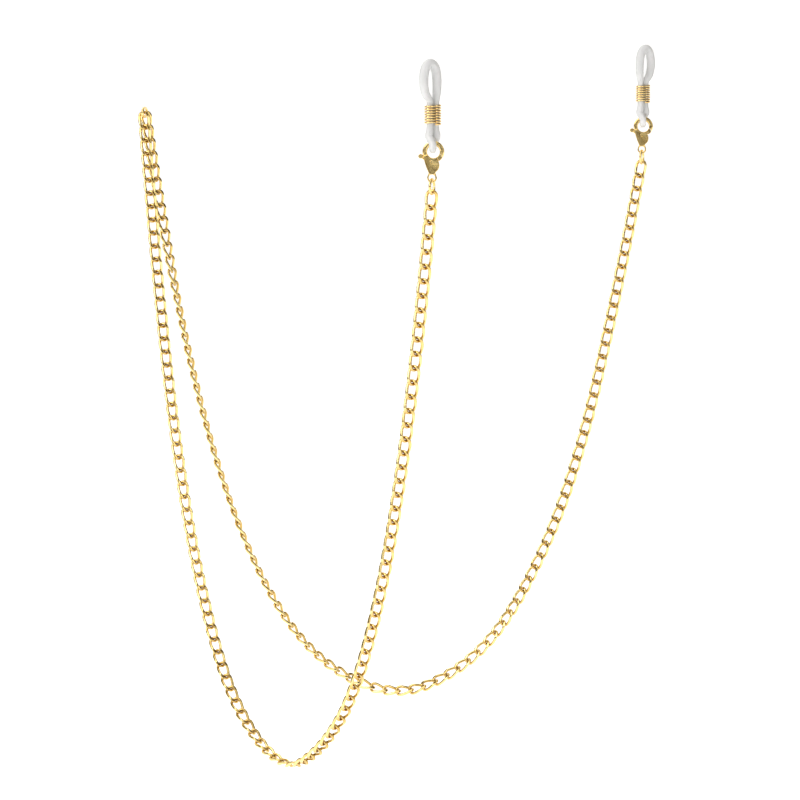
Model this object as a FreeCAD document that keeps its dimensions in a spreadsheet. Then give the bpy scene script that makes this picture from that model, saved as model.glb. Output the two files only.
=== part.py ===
import FreeCAD, Part
import math
import os

# Eyeglasses chain strap: two silicone temple loops with sliding coils, two sprung clasps,
# and one curb chain that hangs in two strands from its middle link.
# Frame: origin at the centre of the near loop's temple opening, +Z up, +Y along the near temple.

Vector = FreeCAD.Vector
Rotation = FreeCAD.Rotation
Placement = FreeCAD.Placement

doc = FreeCAD.newDocument("eyeglasses_chain_strap")

# ---------------------------------------------------------------- driving dimensions (mm, degrees)

DIMENSIONS = [
    # curb link: a twisted oval of round wire
    ("LinkWire", 0.68), ("LinkHalfLength", 2.0), ("LinkHalfWidth", 1.08), ("LinkTwist", -0.5),
    ("NearLinks", 100), ("FarLinks", 98), ("StrandNodes", 10),
    # silicone loop
    ("CordDiameter", 1.5), ("LegGap", 0.08), ("LegTop", -3.9), ("LegBottom", -10.6),
    ("BightHalf", 1.45), ("BightTurn", 50), ("HookBarHeight", -13.25),
    # coil slider
    ("CoilWire", 0.42), ("CoilClearance", 0.05), ("CoilTurns", 8), ("CoilPitch", 0.56),
    ("CoilBottom", -9.5), ("CoilWaist", 0.88),
    # clasp
    ("HookOuter", 2.35), ("HookInner", 1.35), ("HookThickness", 1.1), ("HookRound", 0.3),
    ("CheekThickness", 1.4),
    ("SlotWidth", 0.7), ("LeverThickness", 0.62), ("GateThickness", 1.2), ("KnobThickness", 1.0),
    ("KnobRadius", 0.5), ("GateReach", 2.5), ("GateClearance", 0.06), ("PivotX", -0.4), ("PivotZ", -2.2),
    ("RivetRadius", 0.28), ("RivetFit", 0.01), ("LeverFit", 0.03), ("EyeX", -0.3), ("EyeZ", -5.55),
    ("EyeOuter", 1.08), ("EyeHole", 0.7), ("TailThickness", 0.6), ("SpringWire", 0.16), ("SpringBend", 1.5),
    # jump ring
    ("RingRadius", 1.6), ("RingWire", 0.58), ("RingTurn", -14), ("RingCut", 4), ("RingPlay", 0.12),
]

sheet = doc.addObject("Spreadsheet::Sheet", "Sizes")
for row, (alias, number) in enumerate(DIMENSIONS, start=1):
    sheet.set("A%d" % row, alias)
    sheet.set("B%d" % row, str(number))
    sheet.setAlias("B%d" % row, alias)
doc.recompute()


def size(alias):
    """A driving dimension, read from the sheet."""
    return float(sheet.get(alias))


def bind(item, **cells):
    """Tie properties of a document object to expressions on the sheet."""
    for name, expression in cells.items():
        item.setExpression(name, expression)


def polar(radius, degrees, centre=(0.0, 0.0)):
    angle = math.radians(degrees)
    return (centre[0] + radius * math.cos(angle), centre[1] + radius * math.sin(angle))


# ---------------------------------------------------------------- where the pieces hang

CLASP_TURN = -40.0                      # the clasp's face, turned about the vertical
LEG_SHIFT = 0.7                         # the legs hang a little inboard of the opening's centre
BIGHT_SHIFT = 0.15                      # the hook's centre lies this far from the bight, along the clasp
FAR_OPENING = Vector(97.5, 42.0, 3.4)   # centre of the far loop's temple opening
CLASP_ACROSS = Vector(*polar(1, CLASP_TURN), 0)

CONNECTORS = {"near": (Vector(0, 0, 0), 1), "far": (FAR_OPENING, -1)}

hook_centre_height = size("HookBarHeight") - (size("HookOuter") + size("HookInner")) / 2
eye_bottom = size("EyeZ") - size("EyeHole")
ring_height = hook_centre_height + eye_bottom + size("RingWire") / 2 + size("RingPlay") - size("RingRadius")
chain_top = ring_height - size("RingRadius") + size("RingWire") / 2


def clasp_origin(side):
    """Centre of the clasp's hook."""
    centre, hand = CONNECTORS[side]
    return centre + Vector(hand * LEG_SHIFT, 0, hook_centre_height) + CLASP_ACROSS * BIGHT_SHIFT


def chain_end(side):
    """Where the strand's first link takes hold of the jump ring."""
    origin = clasp_origin(side) + CLASP_ACROSS * size("EyeX")
    return Vector(origin.x, origin.y, CONNECTORS[side][0].z + chain_top)


# Routes of the two strands, chosen by hand: (distance along the strand's vertical plane, height).
NEAR_TOP = Vector(0.0, 115.0, -8.7)
FAR_TOP = Vector(1.45, 116.35, -8.7)
NEAR_ROUTE = [
    (0.0, -23.9), (4.0, -53.0), (14.5, -102.5), (27.0, -136.0), (40.5, -152.5), (56.5, -161.0),
    (77.0, -149.5), (91.0, -124.0), (102.0, -88.5), (111.0, -39.5), (115.0, -8.7),
]
FAR_ROUTE = [
    (0.0, -8.7), (4.0, -38.0), (13.8, -86.5), (25.8, -121.5), (39.9, -143.5), (59.6, -153.5),
    (76.9, -146.0), (89.9, -130.5), (103.7, -98.5), (114.3, -50.0), (119.4, -20.5),
]
# Roll of the links' faces about the strand, from the plane's normal: (share of the length, degrees).
NEAR_ROLL = [(0.0, 60), (0.06, 53), (0.30, 53), (0.42, 66), (0.50, 92), (0.58, 108), (0.70, 102), (0.88, 116),
             (1.0, 112)]
FAR_ROLL = [(0.0, 30), (0.06, 38), (0.17, 80), (0.33, 88), (0.42, 76), (0.52, 55), (0.62, 32), (0.75, 20),
            (1.0, -4)]


def strand_curve(route, start, end):
    """Quadratic clamped B-spline through a vertical plane from start to end."""
    heading = Vector(end.x - start.x, end.y - start.y, 0)
    reach = heading.Length
    heading.normalize()
    stretch = reach / route[-1][0]
    poles = [Vector(start.x, start.y, 0) + heading * (along * stretch) + Vector(0, 0, height)
             for along, height in route]
    poles[0], poles[-1] = start, end
    spans = len(poles) - 2
    curve = Part.BSplineCurve()
    curve.buildFromPolesMultsKnots(poles, [3] + [1] * (spans - 1) + [3],
                                   [float(k) for k in range(spans + 1)], False, 2)
    return curve, Vector(0, 0, 1).cross(heading)


def report_route(name, route):
    """Print each arc's radius that a run-and-arc tube along the route would have."""
    points = [Vector(along, 0, height) for along, height in route]
    runs = [b - a for a, b in zip(points, points[1:])]
    radii = [0.45 * min(a.Length, b.Length) / math.tan(a.getAngle(b) / 2) for a, b in zip(runs, runs[1:])]
    print(name, "runs", [round(run.Length) for run in runs], "radii", [round(r) for r in radii])


def blended(table, share):
    """Value of a (share, value) table, eased between its entries."""
    for (low, first), (high, second) in zip(table, table[1:]):
        if share <= high:
            part = (share - low) / (high - low)
            return first + (second - first) * part * part * (3 - 2 * part)
    return table[-1][1]


def link_frame(curve, normal, roll_table, place, total):
    """Placement of a link whose long axis follows the strand."""
    at = curve.parameterAtDistance(place, curve.FirstParameter)
    tangent = Vector(curve.tangent(at)[0])
    across = normal.cross(tangent)
    roll = math.radians(blended(roll_table, place / total))
    face = normal * math.cos(roll) + across * math.sin(roll)
    return Placement(curve.value(at), Rotation(tangent, face.cross(tangent), face, "XZY"))


# ---------------------------------------------------------------- swept wires

def swept(edges, diameter):
    """Round wire along a chain of edges."""
    path = Part.Wire(edges)
    first = edges[0]
    start = first.valueAt(first.FirstParameter)
    along = first.tangentAt(first.FirstParameter)
    profile = Part.Wire([Part.Edge(Part.Circle(start, along, diameter / 2))])
    return path.makePipeShell([profile], True, True)


def rounded_path(corners, closed=True, share=0.45):
    """Edges of a path of lines, its corners rounded by arcs that take a share of the shorter run."""
    count = len(corners)
    edges, before = [], None if closed else corners[0]
    for index in range(0 if closed else 1, count if closed else count - 1):
        at, last, following = (corners[(index + step) % count] for step in (0, -1, 1))
        inward, outward = at - last, following - at
        cut = share * min(inward.Length, outward.Length)
        half_turn = inward.getAngle(outward) / 2
        inward.normalize()
        outward.normalize()
        start, end = at - inward * cut, at + outward * cut
        if before:
            edges.append(Part.makeLine(before, start))
        else:
            opening = start
        bisector = (outward - inward).normalize()
        edges.append(Part.Arc(start, at + bisector * (cut * math.tan(half_turn / 2)), end).toShape())
        before = end
    edges.append(Part.makeLine(before, opening if closed else corners[-1]))
    return edges


def closed_wire(corners, diameter):
    """Endless round wire round the corners, swept in two halves."""
    edges = rounded_path(corners)
    middle = len(edges) // 2
    halves = [swept(part, diameter) for part in (edges[:middle], edges[middle:])]
    return halves[0].fuse(halves[1]).Solids[0]


def make_link(twist):
    """A link: an eight-cornered oval, whose quarters lie above and below its plane by turns if twisted."""
    steps = 8
    half_step = math.pi / steps
    corners = []
    for step in range(steps):
        turn = (2 * step + 1) * half_step
        corners.append(Vector(size("LinkHalfLength") * math.cos(turn), size("LinkHalfWidth") * math.sin(turn),
                              twist * math.copysign(math.cos(half_step), math.sin(2 * turn)))
                       * (1 / math.cos(half_step)))
    return closed_wire(corners, size("LinkWire"))


def add_feature(label, shape, placement=None):
    """A document object for a piece whose shape the sweeps make."""
    item = doc.addObject("Part::Feature", label)
    item.Label = label
    item.Shape = shape
    if placement:
        item.Placement = placement
    return item


nodes = []
LINK = make_link(size("LinkTwist"))


def add_strand(side, count, curve, normal, roll_table):
    """The links of one strand, in nodes of about ten."""
    total = curve.length()
    pitch = total / count
    groups = int(size("StrandNodes"))
    bounds = [round(count * group / groups) for group in range(groups + 1)]
    print(side, "strand length", round(total, 2), "pitch", round(pitch, 4))
    for group in range(groups):
        links = []
        for index in range(bounds[group], bounds[group + 1]):
            link = LINK.copy()
            link.Placement = link_frame(curve, normal, roll_table, (index + 0.5) * pitch, total)
            links.append(link)
        nodes.append(add_feature("%s_chain_%02d" % (side, group + 1), Part.Compound(links)))


near_curve, near_normal = strand_curve(NEAR_ROUTE, chain_end("near"), NEAR_TOP)
far_curve, far_normal = strand_curve(FAR_ROUTE, FAR_TOP, chain_end("far"))
report_route("near", NEAR_ROUTE)
report_route("far", FAR_ROUTE)
add_strand("near", int(size("NearLinks")), near_curve, near_normal, NEAR_ROLL)
add_strand("far", int(size("FarLinks")), far_curve, far_normal, FAR_ROLL)

# The middle link is a plain oval on edge, and the top links of both strands hang in it.
MIDDLE_RISE = 0.35
middle_axis = FAR_TOP - NEAR_TOP
middle_at = (NEAR_TOP + FAR_TOP) * 0.5 + Vector(0, 0, MIDDLE_RISE)
middle_frame = Placement(middle_at, Rotation(middle_axis, Vector(0, 0, 1), Vector(), "XYZ"))
nodes.append(add_feature("middle_link", make_link(0.0), middle_frame))

# ---------------------------------------------------------------- silicone loop and coil slider

def make_loop(hand):
    """Silicone loop: a ring round the temple, two straight legs and a bight turned to the clasp."""
    half = (size("CordDiameter") + size("LegGap")) / 2
    legs = hand * LEG_SHIFT
    top, bottom = size("LegTop"), size("LegBottom")
    inner, outer = legs + hand * half, legs - hand * half
    ring = [Vector(hand * x, 0, z) for x, z in
            ((-1.45, -2.3), (-2.0, 0.1), (-1.45, 2.95), (0.0, 4.0), (1.45, 2.95), (2.0, 0.2), (1.95, -2.0))]
    bar = Vector(legs, 0, size("HookBarHeight"))
    reach = size("BightHalf")
    turned = Vector(*polar(hand * reach, size("BightTurn")), 0)
    shoulder = Vector(0, 0, reach / 2)
    eighth = math.pi / 8
    bight = [bar + (turned * math.cos(part * eighth) - Vector(0, 0, reach * math.sin(part * eighth)))
             * (1 / math.cos(eighth)) for part in (1, 3, 5, 7)]
    corners = (ring + [Vector(inner, 0, top), Vector(inner, 0, bottom), bar + turned + shoulder] + bight
               + [bar - turned + shoulder, Vector(outer, 0, bottom), Vector(outer, 0, top)])
    return closed_wire(corners, size("CordDiameter"))


def coil_outline():
    """Corners of one turn round both legs: half an octagon about each, drawn in to a waist between them."""
    half = (size("CordDiameter") + size("LegGap")) / 2
    radius = size("CordDiameter") / 2 + size("CoilClearance") + size("CoilWire") / 2
    side = radius * math.tan(math.pi / 8)
    lobe = [(half - side, -radius), (half + side, -radius), (half + radius, -side),
            (half + radius, side), (half + side, radius), (half - side, radius)]
    waist = size("CoilWaist")
    return [(0.0, -waist)] + lobe + [(0.0, waist)] + [(-x, -y) for x, y in lobe]


def make_coil():
    """Sliding coil: one wire wound in a waisted outline."""
    outline = coil_outline()
    steps = len(outline)
    rise = size("CoilPitch") / steps
    corners = [Vector(*outline[step % steps], rise * step)
               for step in range(int(steps * (size("CoilTurns") - 0.5)) + 1)]
    return swept(rounded_path(corners, closed=False), size("CoilWire"))


COIL = make_coil()

# ---------------------------------------------------------------- clasp

def origin_plane(body, role):
    return [item for item in body.Origin.OriginFeatures if item.Role == role][0]


def add_sketch(body, name, geometry):
    """A sketch on the body's XZ plane: x across the clasp, y up."""
    sketch = body.newObject("Sketcher::SketchObject", name)
    sketch.AttachmentSupport = [(origin_plane(body, "XZ_Plane"), "")]
    sketch.MapMode = "FlatFace"
    for piece in geometry:
        sketch.addGeometry(piece, False)
    return sketch


def add_pad(body, name, geometry, length):
    pad = body.newObject("PartDesign::Pad", name)
    pad.Profile = add_sketch(body, name + "_outline", geometry)
    pad.Midplane = True
    bind(pad, Length=length)
    doc.recompute()
    return pad


def add_pocket(body, name, geometry, length):
    """A pocket centred on the sketch's plane, checked to remove something."""
    before = body.Shape.Volume
    pocket = body.newObject("PartDesign::Pocket", name)
    pocket.Profile = add_sketch(body, name + "_outline", geometry)
    pocket.Midplane = True
    bind(pocket, Length=length)
    doc.recompute()
    if body.Shape.Volume >= before:
        raise RuntimeError(name + " removed nothing")
    return pocket


def flat(point):
    return Vector(point[0], point[1], 0)


def line(first, second):
    return Part.LineSegment(flat(first), flat(second))


def polygon(points):
    return [line(a, b) for a, b in zip(points, points[1:] + points[:1])]


def arc(centre, radius, start, end):
    """Arc about centre from start to end, in degrees, either way round."""
    middle = (start + end) / 2
    return Part.Arc(flat(polar(radius, start, centre)), flat(polar(radius, middle, centre)),
                    flat(polar(radius, end, centre)))


def circle(centre, radius):
    return Part.Circle(flat(centre), Vector(0, 0, 1), radius)


def reach_angle(radius, pivot, reach):
    """Angle on the lower right of a circle about the hook's centre that lies reach from the pivot."""
    low, high = -89.0, 60.0
    while high - low > 1e-9:
        middle = (low + high) / 2
        if math.dist(polar(radius, middle), pivot) < reach:
            low = middle
        else:
            high = middle
    return low


SHOULDER = -62.0       # where the body's right cheek ends and the gate's head begins
BACK = 205.0           # where the hook's back runs into the body
PIVOT = (size("PivotX"), size("PivotZ"))
EYE = (size("EyeX"), size("EyeZ"))


def pivot_angle(point):
    return math.degrees(math.atan2(point[1] - PIVOT[1], point[0] - PIVOT[0]))


def gate_edge(reach):
    """Arc about the pivot across the hook's bar, with its two ends."""
    inner = polar(size("HookInner"), reach_angle(size("HookInner"), PIVOT, reach))
    outer = polar(size("HookOuter"), reach_angle(size("HookOuter"), PIVOT, reach))
    return inner, outer, arc(PIVOT, reach, pivot_angle(inner), pivot_angle(outer))


def round_hook(body, pad):
    """Round the hook's long edges."""
    rims = []
    for number, edge in enumerate(pad.Shape.Edges, start=1):
        if isinstance(edge.Curve, Part.Circle) and math.hypot(edge.Curve.Center.x, edge.Curve.Center.z) < 1e-3:
            rims.append("Edge%d" % number)
    fillet = body.newObject("PartDesign::Fillet", "hook_round")
    fillet.Base = (pad, rims)
    bind(fillet, Radius="Sizes.HookRound")
    doc.recompute()


def add_clasp_body(label, placement):
    body = doc.addObject("PartDesign::Body", label)
    body.Label = label
    inner, outer = size("HookInner"), size("HookOuter")
    tip_in, tip_out, tip_edge = gate_edge(size("GateReach") + size("GateClearance"))
    angle_in = math.degrees(math.atan2(tip_in[1], tip_in[0]))
    angle_out = math.degrees(math.atan2(tip_out[1], tip_out[0]))
    foot = 235.0
    hook = [arc((0, 0), outer, angle_out, foot), line(polar(outer, foot), polar(inner, foot)),
            arc((0, 0), inner, foot, angle_in), tip_edge]
    pad = add_pad(body, "hook", hook, "Sizes.HookThickness")
    round_hook(body, pad)
    shoulder_in, shoulder_out = polar(inner, SHOULDER), polar(outer, SHOULDER)
    cheek_top = polar(outer, BACK)
    cheeks = [arc((0, 0), inner, BACK, 360 + SHOULDER), line(shoulder_in, shoulder_out),
              Part.Arc(flat(shoulder_out), flat((1.3, -3.0)), flat((0.55, -4.3))),
              line((0.55, -4.3), (0.25, -4.8)), line((0.25, -4.8), (-0.85, -4.8)),
              line((-0.85, -4.8), (-1.15, -4.2)),
              Part.Arc(flat((-1.15, -4.2)), flat((-1.75, -2.6)), flat(cheek_top)),
              line(cheek_top, polar(inner, BACK))]
    add_pad(body, "cheeks", cheeks, "Sizes.CheekThickness")
    eye_top = size("EyeOuter")
    tail = [line((EYE[0] - eye_top, EYE[1]), (-0.95, -4.3)), line((-0.95, -4.3), (0.4, -4.3)),
            line((0.4, -4.3), (EYE[0] + eye_top, EYE[1])), arc(EYE, eye_top, 0, -180)]
    add_pad(body, "tail", tail, "Sizes.TailThickness")
    slot = polygon([(-3.2, -0.3), (1.0, -0.3), (1.45, -1.6), (1.55, -1.8), (0.5, -2.8), (0.4, -3.15),
                    (-1.1, -3.15), (-1.3, -2.85), (-3.2, -2.3)])
    add_pocket(body, "slot", slot, "Sizes.SlotWidth")
    add_pocket(body, "eye", [circle(EYE, size("EyeHole"))], "Sizes.CheekThickness * 2")
    rivet_hole = size("RivetRadius") + size("RivetFit")
    add_pocket(body, "rivet_hole", [circle(PIVOT, rivet_hole)], "Sizes.CheekThickness * 2")
    body.Placement = placement
    return body


def add_lever(label, placement):
    body = doc.addObject("PartDesign::Body", label)
    body.Label = label
    inner, outer = size("HookInner"), size("HookOuter")
    root = polygon([(-2.45, -0.55), (-0.45, -1.62), (0.3, -1.48), (0.95, -1.05), (1.35, -1.6),
                    (0.15, -2.6), (-0.85, -2.65), (-2.65, -1.3)])
    add_pad(body, "root", root, "Sizes.LeverThickness")
    head_in, head_out, head_edge = gate_edge(size("GateReach"))
    low = SHOULDER + math.degrees(size("GateClearance") / inner)
    head = [head_edge, arc((0, 0), outer, math.degrees(math.atan2(head_out[1], head_out[0])), low),
            line(polar(outer, low), polar(inner, low)),
            arc((0, 0), inner, low, math.degrees(math.atan2(head_in[1], head_in[0])))]
    add_pad(body, "gate_head", head, "Sizes.GateThickness")
    add_pad(body, "knob", [circle((-2.75, -0.95), size("KnobRadius"))], "Sizes.KnobThickness")
    add_pocket(body, "pivot_hole", [circle(PIVOT, size("RivetRadius") + size("LeverFit"))],
               "Sizes.CheekThickness * 2")
    body.Placement = placement
    return body


def clasp_placement(side):
    return Placement(clasp_origin(side), Rotation(Vector(0, 0, 1), CLASP_TURN))


def on_clasp(side, x, z, depth=0.0, turn=None):
    """Placement of a piece at (x, z) on the clasp's face, depth behind its middle plane."""
    local = Placement(Vector(x, depth, z), turn or Rotation())
    return clasp_placement(side).multiply(local)


def add_rivet(side):
    rivet = doc.addObject("Part::Cylinder", side + "_clasp_rivet")
    rivet.Label = side + "_clasp_rivet"
    bind(rivet, Radius="Sizes.RivetRadius", Height="Sizes.CheekThickness")
    across = Rotation(Vector(1, 0, 0), -90)
    rivet.Placement = on_clasp(side, PIVOT[0], PIVOT[1], -size("CheekThickness") / 2, across)
    return rivet


def add_spring(side):
    """Bent wire under the lever, in the slot's floor."""
    spring = doc.addObject("Part::Torus", side + "_clasp_spring")
    spring.Label = side + "_clasp_spring"
    bend_angle = 44.0
    bind(spring, Radius1="Sizes.SpringBend", Radius2="Sizes.SpringWire / 2")
    spring.Angle3 = bend_angle
    upright = Rotation(Vector(1, 0, 0), 90).multiply(Rotation(Vector(0, 0, 1), 90 - bend_angle / 2))
    top = -2.86
    spring.Placement = on_clasp(side, -0.4, top - size("SpringBend") - size("SpringWire") / 2, 0, upright)
    return spring


def add_jump_ring(side):
    ring = doc.addObject("Part::Torus", side + "_jump_ring")
    ring.Label = side + "_jump_ring"
    bind(ring, Radius1="Sizes.RingRadius", Radius2="Sizes.RingWire / 2", Angle3="360 - Sizes.RingCut")
    centre = chain_end(side)
    centre.z = CONNECTORS[side][0].z + ring_height
    face = Rotation(Vector(0, 0, 1), CLASP_TURN + 90 + size("RingTurn"))
    ring.Placement = Placement(centre, face.multiply(Rotation(Vector(1, 0, 0), 90)))
    return ring


for side, (centre, hand) in CONNECTORS.items():
    nodes.append(add_feature(side + "_silicone_loop", make_loop(hand), Placement(centre, Rotation())))
    coil_at = centre + Vector(hand * LEG_SHIFT, 0, size("CoilBottom") + size("CoilWire") / 2)
    nodes.append(add_feature(side + "_coil_slider", COIL.copy(), Placement(coil_at, Rotation())))
    nodes.append(add_clasp_body(side + "_clasp_body", clasp_placement(side)))
    nodes.append(add_lever(side + "_clasp_lever", clasp_placement(side)))
    nodes.append(add_rivet(side))
    nodes.append(add_spring(side))
    nodes.append(add_jump_ring(side))

# ---------------------------------------------------------------- check and write

doc.recompute()
for item in doc.Objects:
    if "Invalid" in item.State or "Error" in item.State:
        raise RuntimeError("%s: %s" % (item.Name, item.State))
os.makedirs("parts", exist_ok=True)
for node in nodes:
    if node.Shape.isNull() or not node.Shape.isValid():
        raise RuntimeError(node.Label + " is not a valid shape")
    node.Shape.exportStep("parts/%s.step" % node.Label)
print(len(nodes), "nodes written")
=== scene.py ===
import bisect
import math
import random

import bmesh
import bpy
from mathutils import Matrix, Vector


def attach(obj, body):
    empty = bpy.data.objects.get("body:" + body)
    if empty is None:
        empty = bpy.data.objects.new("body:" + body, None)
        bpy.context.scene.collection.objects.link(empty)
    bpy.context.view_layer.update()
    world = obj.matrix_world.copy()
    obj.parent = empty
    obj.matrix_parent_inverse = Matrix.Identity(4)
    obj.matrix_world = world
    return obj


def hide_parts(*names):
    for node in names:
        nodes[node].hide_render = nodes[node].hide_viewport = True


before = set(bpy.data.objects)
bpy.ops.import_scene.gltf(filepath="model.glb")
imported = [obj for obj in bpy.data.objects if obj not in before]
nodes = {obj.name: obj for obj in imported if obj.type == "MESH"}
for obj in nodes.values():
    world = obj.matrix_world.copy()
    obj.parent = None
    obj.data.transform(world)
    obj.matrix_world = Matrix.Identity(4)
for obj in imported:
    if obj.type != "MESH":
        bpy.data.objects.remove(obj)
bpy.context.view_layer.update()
MM = 0.001
UP = Vector((0, 0, 1))


# ---------------------------------------------------------------- camera

def aim(thing, target, azimuth, elevation, distance):
    """Puts a camera or light round the target and turns it there."""
    a, e = math.radians(azimuth), math.radians(elevation)
    back = Vector((math.sin(a) * math.cos(e), -math.cos(a) * math.cos(e), math.sin(e)))
    thing.location = Vector(target) + back * distance
    thing.rotation_euler = back.to_track_quat("Z", "Y").to_euler()
    bpy.context.scene.collection.objects.link(thing)
    return thing


CAMERA_AZIMUTH, CAMERA_ELEVATION, CAMERA_DISTANCE = -36.7, 6.35, 0.662
MIDDLE = Vector((-5.15, 3.85, -68.4)) * MM

lens = bpy.data.cameras.new("camera")
lens.lens = 138.33
lens.sensor_width = 36.0
lens.clip_start = 0.01
lens.clip_end = 20.0
camera = aim(bpy.data.objects.new("camera", lens), MIDDLE, CAMERA_AZIMUTH, CAMERA_ELEVATION, CAMERA_DISTANCE)
bpy.context.scene.camera = camera

# ---------------------------------------------------------------- materials

class Shader:
    """One procedural material, built node by node."""

    def __init__(self, name):
        self.material = bpy.data.materials.new(name)
        self.material.use_nodes = True
        self.tree = self.material.node_tree
        self.bsdf = self.tree.nodes["Principled BSDF"]
        coords = self.tree.nodes.new("ShaderNodeTexCoord")
        self.place = coords.outputs["Object"]

    def add(self, kind, inputs=None, **settings):
        node = self.tree.nodes.new(kind)
        for name, value in settings.items():
            setattr(node, name, value)
        for key, value in (inputs or {}).items():
            self.put(node.inputs[key], value)
        return node

    def put(self, socket, value):
        if isinstance(value, bpy.types.NodeSocket):
            self.tree.links.new(value, socket)
        else:
            socket.default_value = value

    def noise(self, scale, detail=3.0, roughness=0.55):
        node = self.add("ShaderNodeTexNoise", {"Vector": self.place, "Scale": scale, "Detail": detail,
                                               "Roughness": roughness})
        return node.outputs["Fac"]

    def ramp(self, value, stops):
        """Colour ramp: stops are (position, (r, g, b))."""
        node = self.add("ShaderNodeValToRGB", {"Fac": value})
        ramp = node.color_ramp
        while len(ramp.elements) < len(stops):
            ramp.elements.new(0.5)
        for element, (position, colour) in zip(ramp.elements, stops):
            element.position = position
            element.color = (*colour, 1.0)
        return node.outputs["Color"]

    def span(self, value, low, high, start=0.0, end=1.0):
        node = self.add("ShaderNodeMapRange", {"Value": value, "From Min": start, "From Max": end,
                                               "To Min": low, "To Max": high})
        return node.outputs["Result"]

    def mix(self, factor, first, second, blend="MIX"):
        node = self.add("ShaderNodeMix", data_type="RGBA", blend_type=blend)
        self.put(node.inputs[0], factor)
        self.put(node.inputs[6], first)
        self.put(node.inputs[7], second)
        return node.outputs[2]

    def attribute(self, name):
        return self.add("ShaderNodeAttribute", attribute_name=name).outputs["Fac"]

    def bump(self, height, strength, distance):
        node = self.add("ShaderNodeBump", {"Height": height, "Strength": strength, "Distance": distance})
        self.put(self.bsdf.inputs["Normal"], node.outputs["Normal"])

    def set(self, **values):
        for name, value in values.items():
            self.put(self.bsdf.inputs[name.replace("_", " ")], value)


GRAIN_DEPTH = 0.00002
# Painted shade: the share of the deep gold left inside the links' wire and where neighbouring links cross.
GROOVE_SHADE_TINT = (0.55, 0.42, 0.22)


def gold(name, light, deep, roughness=(0.10, 0.24), groove_shade=False, wave=0.0):
    """Polished plated metal: faint cloudiness, fine wear, painted shade in the grooves, a casting's waves."""
    s = Shader(name)
    colour = s.ramp(s.noise(420.0, 4.0), [(0.30, deep), (0.62, light)])
    if groove_shade:
        # Painted shade: per-point values darken the colour inside the wire and where neighbouring links cross.
        dark = [share * channel for share, channel in zip(GROOVE_SHADE_TINT, deep)]
        colour = s.mix(s.attribute("groove_shade"), colour, (*dark, 1.0))
    s.set(Metallic=1.0, Base_Color=colour)
    s.set(Roughness=s.span(s.noise(1900.0, 5.0, 0.7), roughness[0], roughness[1], 0.3, 0.7))
    height = s.noise(3000.0, 3.0)
    if wave:
        height = s.add("ShaderNodeMath", {0: s.noise(420.0, 0.0), 1: wave, 2: height},
                       operation="MULTIPLY_ADD").outputs["Value"]
    s.bump(height, 0.5 if wave else 0.06, GRAIN_DEPTH)
    return s.material


GOLD_LIGHT = (0.98, 0.82, 0.39)
GOLD_DEEP = (0.92, 0.69, 0.25)

chain_gold = gold("chain_gold", GOLD_LIGHT, GOLD_DEEP, groove_shade=True)
fitting_gold = gold("fitting_gold", (0.97, 0.76, 0.34), (0.93, 0.68, 0.25), (0.12, 0.22), wave=8.0)
coil_gold = gold("coil_gold", (0.97, 0.77, 0.40), (0.86, 0.60, 0.24))


def milky(name):
    """Milky silicone: slightly clear, soft sheen, faint cloudiness and a fine moulded skin."""
    s = Shader(name)
    s.set(Base_Color=s.ramp(s.noise(260.0, 3.0), [(0.3, (0.70, 0.71, 0.71)), (0.7, (0.78, 0.78, 0.78))]))
    s.set(Roughness=s.span(s.noise(900.0, 4.0), 0.22, 0.42, 0.3, 0.7), IOR=1.41,
          Subsurface_Weight=0.6, Subsurface_Radius=(1.0, 1.0, 1.0), Subsurface_Scale=0.0015, Alpha=0.88)
    s.bump(s.noise(2600.0, 3.0), 0.03, 0.00003)
    return s.material


silicone = milky("silicone")

# ---------------------------------------------------------------- chain strands

# The strands' routes and the rolls of their links, as in the model: (distance along the strand's
# vertical plane, height) in mm, and (share of the length, degrees).
NEAR_ROUTE = [
    (0.0, -23.9), (4.0, -53.0), (14.5, -102.5), (27.0, -136.0), (40.5, -152.5), (56.5, -161.0),
    (77.0, -149.5), (91.0, -124.0), (102.0, -88.5), (111.0, -39.5), (115.0, -8.7),
]
FAR_ROUTE = [
    (0.0, -8.7), (4.0, -38.0), (13.8, -86.5), (25.8, -121.5), (39.9, -143.5), (59.6, -153.5),
    (76.9, -146.0), (89.9, -130.5), (103.7, -98.5), (114.3, -50.0), (119.4, -20.5),
]
NEAR_ENDS = (Vector((0.5851, 0.0964, -23.85)), Vector((0.0, 115.0, -8.7)))
FAR_ENDS = (Vector((1.45, 116.35, -8.7)), Vector((96.6851, 42.0964, -20.45)))
NEAR_ROLL = [(0.0, 60), (0.06, 53), (0.30, 53), (0.42, 66), (0.50, 92), (0.58, 108), (0.70, 102), (0.88, 116),
             (1.0, 112)]
FAR_ROLL = [(0.0, 30), (0.06, 38), (0.17, 80), (0.33, 88), (0.42, 76), (0.52, 55), (0.62, 32), (0.75, 20),
            (1.0, -4)]

NEAR_LINKS, FAR_LINKS = 100, 98
NODES_PER_STRAND = 10
PATH_STEPS = 300

# A link in mm: half its length and width, how far its quarters lie above and below, the wire's radius,
# the height at which its faces are filed flat, and how much of what stood above that is left.
HALF_LENGTH, HALF_WIDTH, TWIST, WIRE = 2.0, 1.1, -0.5, 0.35
FILED_AT, FILED_REST = 0.66, 0.12
LOOSE_TURN, LOOSE_SWAY = 2.0, 0.8
# Painted shade darkens the inside of the wire and, from this far along the link, where its neighbours cross it.
CROSSING_FROM, CROSSING_FADE = 0.9, 0.8


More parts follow.
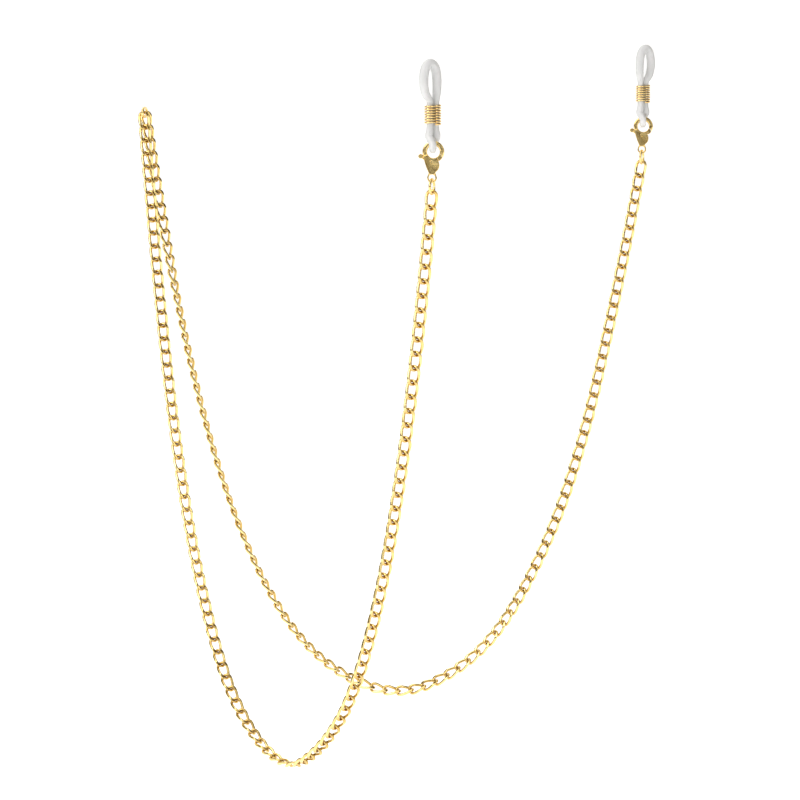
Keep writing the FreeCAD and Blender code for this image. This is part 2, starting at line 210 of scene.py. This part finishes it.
def nurbs_line(name, control):
    """Points down a smooth NURBS line through the control points' polygon."""
    curve = bpy.data.curves.new(name, "CURVE")
    curve.dimensions = "3D"
    curve.resolution_u = 60
    spline = curve.splines.new("NURBS")
    spline.points.add(len(control) - 1)
    for point, place in zip(spline.points, control):
        point.co = (*(place * MM), 1.0)
    spline.order_u = 3
    spline.use_endpoint_u = True
    holder = bpy.data.objects.new(name, curve)
    mesh = bpy.data.meshes.new_from_object(holder)
    points = [vertex.co.copy() for vertex in mesh.vertices]
    bpy.data.objects.remove(holder)
    bpy.data.curves.remove(curve)
    bpy.data.meshes.remove(mesh)
    return points


def new_piece(name, points, faces, material, closed=True):
    """A smooth-shaded mesh object; a closed one has its faces turned outwards."""
    mesh = bpy.data.meshes.new(name)
    mesh.from_pydata(points, [], faces)
    if closed:
        shell = bmesh.new()
        shell.from_mesh(mesh)
        bmesh.ops.recalc_face_normals(shell, faces=shell.faces)
        shell.to_mesh(mesh)
        shell.free()
    mesh.shade_smooth()
    mesh.materials.append(material)
    piece = bpy.data.objects.new(name, mesh)
    bpy.context.scene.collection.objects.link(piece)
    return piece


class Line:
    """A polyline read by distance along it."""

    def __init__(self, points):
        self.points = points
        self.along = [0.0]
        for a, b in zip(points, points[1:]):
            self.along.append(self.along[-1] + (b - a).length)
        self.length = self.along[-1]

    def at(self, distance):
        """(place, tangent) at a distance, clamped to the ends."""
        distance = min(max(distance, 0.0), self.length)
        index = min(max(bisect.bisect_right(self.along, distance) - 1, 0), len(self.points) - 2)
        a, b = self.points[index], self.points[index + 1]
        share = (distance - self.along[index]) / (self.along[index + 1] - self.along[index])
        before = self.points[max(index - 1, 0)]
        after = self.points[min(index + 2, len(self.points) - 1)]
        tangent = (b - before).lerp(after - a, share)
        return a.lerp(b, share), tangent.normalized()


def blended(table, share):
    """The table's value at a share, eased between its rows."""
    for (low, first), (high, second) in zip(table, table[1:]):
        if share <= high:
            part = (share - low) / (high - low)
            return first + (second - first) * part * part * (3 - 2 * part)
    return table[-1][1]


def squared(value, power):
    """Keeps the sign and raises the size to a power, which squares an oval off."""
    return math.copysign(abs(value) ** power, value)


def link_centre(share):
    """A point on the link's centreline: a squarish oval whose quarters lie above and below by turns."""
    t = 2 * math.pi * share
    return Vector((HALF_LENGTH * squared(math.cos(t), 0.86), HALF_WIDTH * squared(math.sin(t), 0.80),
                   TWIST * squared(math.sin(2 * t), 0.9)))


def link_template(around=56, section=14):
    """One curb link in mm: twisted oval wire, filed flat on both faces. Returns points, painted shade, faces."""
    points, grooves, faces = [], [], []
    for step in range(around):
        centre = link_centre(step / around)
        tangent = (link_centre((step + 0.1) / around) - link_centre((step - 0.1) / around)).normalized()
        inward = (-centre).normalized()
        side = tangent.cross(inward).normalized()
        inward = side.cross(tangent)
        for ring in range(section):
            angle = 2 * math.pi * ring / section
            point = centre + inward * (WIRE * math.cos(angle)) + side * (WIRE * math.sin(angle))
            over = abs(point.z) - FILED_AT
            if over > 0:
                point.z = math.copysign(FILED_AT + over * FILED_REST, point.z)
            points.append(point)
            # Painted shade: darkest on the wire's inner side, and darker where neighbouring links cross.
            crossing = min(max((abs(centre.x) - CROSSING_FROM) / CROSSING_FADE, 0.0), 1.0)
            grooves.append(min(1.0, max(0.0, math.cos(angle)) ** 2 * 0.7 + crossing * 0.55))
    for step in range(around):
        for ring in range(section):
            a, b = step * section, ((step + 1) % around) * section
            c = (ring + 1) % section
            faces.append((a + ring, b + ring, b + c, a + c))
    return points, grooves, faces


def link_matrix(place, tangent, normal, roll):
    """Stands a link on the line, its face turned from the plane's normal by the roll."""
    across = normal.cross(tangent)
    face = normal * math.cos(roll) + across * math.sin(roll)
    side = face.cross(tangent).normalized()
    face = tangent.cross(side)
    return Matrix.Translation(place) @ Matrix((tangent, side, face)).transposed().to_4x4()


def links_mesh(name, matrices, seed):
    """Many links in one mesh, each a little turned so that no two catch the light alike."""
    points, grooves, faces = link_template()
    shuffle = random.Random(seed)
    all_points, all_faces, all_grooves = [], [], []
    for matrix in matrices:
        loose = Matrix.Rotation(math.radians(shuffle.uniform(-LOOSE_TURN, LOOSE_TURN)), 4, "X")
        loose = Matrix.Rotation(math.radians(shuffle.uniform(-LOOSE_SWAY, LOOSE_SWAY)), 4, "Z") @ loose
        turned = matrix @ loose
        first = len(all_points)
        all_points += [turned @ (point * MM) for point in points]
        all_grooves += grooves
        all_faces += [tuple(first + index for index in face) for face in faces]
    piece = new_piece(name, all_points, all_faces, chain_gold)
    # Painted shade values, one per point, for the chain's colour.
    groove_shade = piece.data.attributes.new("groove_shade", "FLOAT", "POINT")
    groove_shade.data.foreach_set("value", all_grooves)
    return piece


def strand(side, route, ends, roll_table, count, seed):
    """One strand of links, riding on its own body and standing for its CAD nodes."""
    start, end = ends
    heading = Vector((end.x - start.x, end.y - start.y, 0))
    stretch = heading.length / route[-1][0]
    heading.normalize()
    control = [Vector((start.x, start.y, 0)) + heading * (along * stretch) + UP * height
               for along, height in route]
    control[0], control[-1] = start, end
    line = Line(nurbs_line(side + "_route", control))
    normal = UP.cross(heading)
    pitch = line.length / count
    matrices = []
    for index in range(count):
        place, tangent = line.at((index + 0.5) * pitch)
        roll = math.radians(blended(roll_table, (index + 0.5) / count))
        matrices.append(link_matrix(place, tangent, normal, roll))
    piece = links_mesh(side + "_chain_links", matrices, seed)
    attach(piece, side + "_strand")
    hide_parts(*["%s_chain_%02d" % (side, number) for number in range(1, NODES_PER_STRAND + 1)])
    path = [line.at(line.length * step / PATH_STEPS)[0] for step in range(PATH_STEPS + 1)]
    if side == "far":
        path.reverse()
    return piece


strand("near", NEAR_ROUTE, NEAR_ENDS, NEAR_ROLL, NEAR_LINKS, 3)
strand("far", FAR_ROUTE, FAR_ENDS, FAR_ROLL, FAR_LINKS, 4)

# ---------------------------------------------------------------- silicone loops

# In mm and degrees from the loop's centre, as in the model.
LEG_SHIFT, LEG_HALF, BAR_HEIGHT, BIGHT_HALF, BIGHT_TURN = 0.7, 0.79, -13.25, 1.45, 50.0
LOOP_CENTRES = {"near": (Vector((0, 0, 0)), 1), "far": (Vector((97.5, 42.0, 3.4)), -1)}


def loop_stations(hand):
    """(place, radius) round the loop: fat at the temple, squeezed in the coil, swelling below it."""
    legs = hand * LEG_SHIFT
    inner, outer = legs + hand * LEG_HALF, legs - hand * LEG_HALF
    ring = [((hand * -1.30, 0, -2.6), 0.96), ((hand * -1.78, 0, -0.1), 1.03), ((hand * -1.28, 0, 2.65), 1.04),
            ((0, 0, 3.68), 1.03), ((hand * 1.28, 0, 2.7), 1.04), ((hand * 1.78, 0, 0.3), 1.03),
            ((hand * 1.76, 0, -2.2), 0.96)]
    leg = [(-4.2, 0.80, 0.08), (-5.2, 0.74, 0.0), (-7.0, 0.74, 0.0), (-8.6, 0.74, 0.0), (-9.8, 0.74, 0.0),
           (-10.8, 0.82, 0.05), (-11.9, 0.88, 0.18)]
    bar = Vector((legs, 0, BAR_HEIGHT))
    turn = math.radians(BIGHT_TURN)
    turned = Vector((math.cos(turn), math.sin(turn), 0)) * (hand * BIGHT_HALF)
    bight = []
    for angle, radius in ((0, 0.80), (-45, 0.76), (-90, 0.75), (-135, 0.76), (-180, 0.80)):
        swing = math.radians(angle)
        bight.append((bar + turned * math.cos(swing) + UP * (BIGHT_HALF * math.sin(swing)), radius))
    stations = [(Vector(place), radius) for place, radius in ring]
    stations += [(Vector((inner + hand * swell, 0, height)), radius) for height, radius, swell in leg]
    stations += bight
    stations += [(Vector((outer - hand * swell, 0, height)), radius) for height, radius, swell in reversed(leg)]
    return stations


def closed_spline(stations, steps):
    """Catmull-Rom round a closed list of (place, radius)."""
    count = len(stations)
    result = []
    for index in range(count):
        (p0, r0), (p1, r1), (p2, r2), (p3, r3) = (stations[(index + k - 1) % count] for k in range(4))
        for step in range(steps):
            t = step / steps
            w = (-0.5 * t + t * t - 0.5 * t ** 3, 1 - 2.5 * t * t + 1.5 * t ** 3,
                 0.5 * t + 2 * t * t - 1.5 * t ** 3, -0.5 * t * t + 0.5 * t ** 3)
            place = p0 * w[0] + p1 * w[1] + p2 * w[2] + p3 * w[3]
            result.append((place, r0 * w[0] + r1 * w[1] + r2 * w[2] + r3 * w[3]))
    return result


def silicone_loop(side):
    """Soft loop with a swelling section, riding where its CAD solid does."""
    centre, hand = LOOP_CENTRES[side]
    rings = closed_spline(loop_stations(hand), 9)
    section, count = 24, len(rings)
    points, faces = [], []
    for index, (place, radius) in enumerate(rings):
        along = (rings[(index + 1) % count][0] - rings[index - 1][0]).normalized()
        broad = Vector((0, 1, 0))
        broad = (broad - along * broad.dot(along)).normalized()
        narrow = along.cross(broad)
        for step in range(section):
            angle = 2 * math.pi * step / section
            points.append((centre + place + broad * (radius * math.cos(angle))
                           + narrow * (radius * math.sin(angle))) * MM)
    for index in range(count):
        for step in range(section):
            a, b = index * section, ((index + 1) % count) * section
            c = (step + 1) % section
            faces.append((a + step, a + c, b + c, b + step))
    piece = new_piece(side + "_silicone", points, faces, silicone)
    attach(piece, "held")
    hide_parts(side + "_silicone_loop")
    return piece


for side in ("near", "far"):
    silicone_loop(side)

# ---------------------------------------------------------------- carried-over nodes


def dress(node, material):
    """Gives a CAD node a material."""
    thing = nodes[node]
    if not thing.material_slots:
        thing.data.materials.append(material)
    for holder in thing.material_slots:
        holder.material = material
    return thing


def cast(node, voxel, rounds):
    """Softens a machined CAD piece's edges as if cast and tumbled."""
    thing = dress(node, fitting_gold)
    remesh = thing.modifiers.new("cast", "REMESH")
    remesh.mode = "VOXEL"
    remesh.voxel_size = voxel * MM
    remesh.use_smooth_shade = True
    smooth = thing.modifiers.new("tumbled", "SMOOTH")
    smooth.factor = 0.5
    smooth.iterations = rounds


for side in ("near", "far"):
    dress(side + "_coil_slider", coil_gold)
    for part in ("clasp_rivet", "clasp_spring", "jump_ring"):
        dress("%s_%s" % (side, part), fitting_gold)
    cast(side + "_clasp_body", 0.045, 5)
    cast(side + "_clasp_lever", 0.045, 4)
dress("middle_link", fitting_gold)

# ---------------------------------------------------------------- studio

def paper(name, colour, glow):
    """Matt white paper, evenly lit from behind."""
    s = Shader(name)
    s.set(Base_Color=(*colour, 1.0), Roughness=0.85, Emission_Color=(1.0, 1.0, 1.0, 1.0), Emission_Strength=glow)
    return s.material


def sweep_backdrop():
    """Floor that curves up into a backdrop, seen from the camera's side."""
    floor_z, front_y, back_y, rise, radius, half = -0.200, -2.6, 1.6, 2.4, 0.7, 3.0
    steps = 10
    profile = [(front_y, floor_z), (0.0, floor_z)]
    for step in range(steps + 1):
        turn = math.radians(step * 90 / steps)
        profile.append((back_y - radius + radius * math.sin(turn), floor_z + radius - radius * math.cos(turn)))
    profile.append((back_y, floor_z + rise))
    facing = Matrix.Rotation(math.radians(CAMERA_AZIMUTH), 4, "Z")
    points = [facing @ Vector((x, y, z)) for y, z in profile for x in (-half, half)]
    faces = [(2 * k, 2 * k + 1, 2 * k + 3, 2 * k + 2) for k in range(len(profile) - 1)]
    new_piece("backdrop", points, faces, paper("backdrop", (0.90, 0.90, 0.90), 0.55), closed=False)


def softbox(name, azimuth, elevation, distance, wide, high, watts):
    """A rectangular lamp aimed at the chain's middle."""
    light = bpy.data.lights.new(name, "AREA")
    light.shape = "RECTANGLE"
    light.size, light.size_y = wide, high
    light.energy = watts
    aim(bpy.data.objects.new(name, light), MIDDLE, azimuth, elevation, distance)


def surround():
    """A dim warm room for the metal to reflect, which the camera sees as white."""
    world = bpy.data.worlds.new("studio")
    world.use_nodes = True
    tree = world.node_tree
    room = tree.nodes["Background"]
    room.inputs["Color"].default_value = (1.0, 0.74, 0.46, 1.0)
    room.inputs["Strength"].default_value = 0.07
    white = tree.nodes.new("ShaderNodeBackground")
    white.inputs["Color"].default_value = (1.0, 1.0, 1.0, 1.0)
    rays = tree.nodes.new("ShaderNodeLightPath")
    either = tree.nodes.new("ShaderNodeMixShader")
    tree.links.new(rays.outputs["Is Camera Ray"], either.inputs[0])
    tree.links.new(room.outputs[0], either.inputs[1])
    tree.links.new(white.outputs[0], either.inputs[2])
    tree.links.new(either.outputs[0], tree.nodes["World Output"].inputs["Surface"])
    bpy.context.scene.world = world


sweep_backdrop()
softbox("key", -92, 38, 1.1, 0.6, 0.8, 6.5)
softbox("fill", 8, 14, 1.2, 0.35, 0.9, 2.2)
softbox("top", -37, 82, 1.2, 1.0, 1.0, 4.0)
softbox("back", 160, 62, 1.3, 0.9, 0.9, 3.0)
softbox("front", -50, 20, 1.5, 1.0, 0.7, 3.4)
surround()
bpy.context.scene.view_settings.view_transform = "Standard"
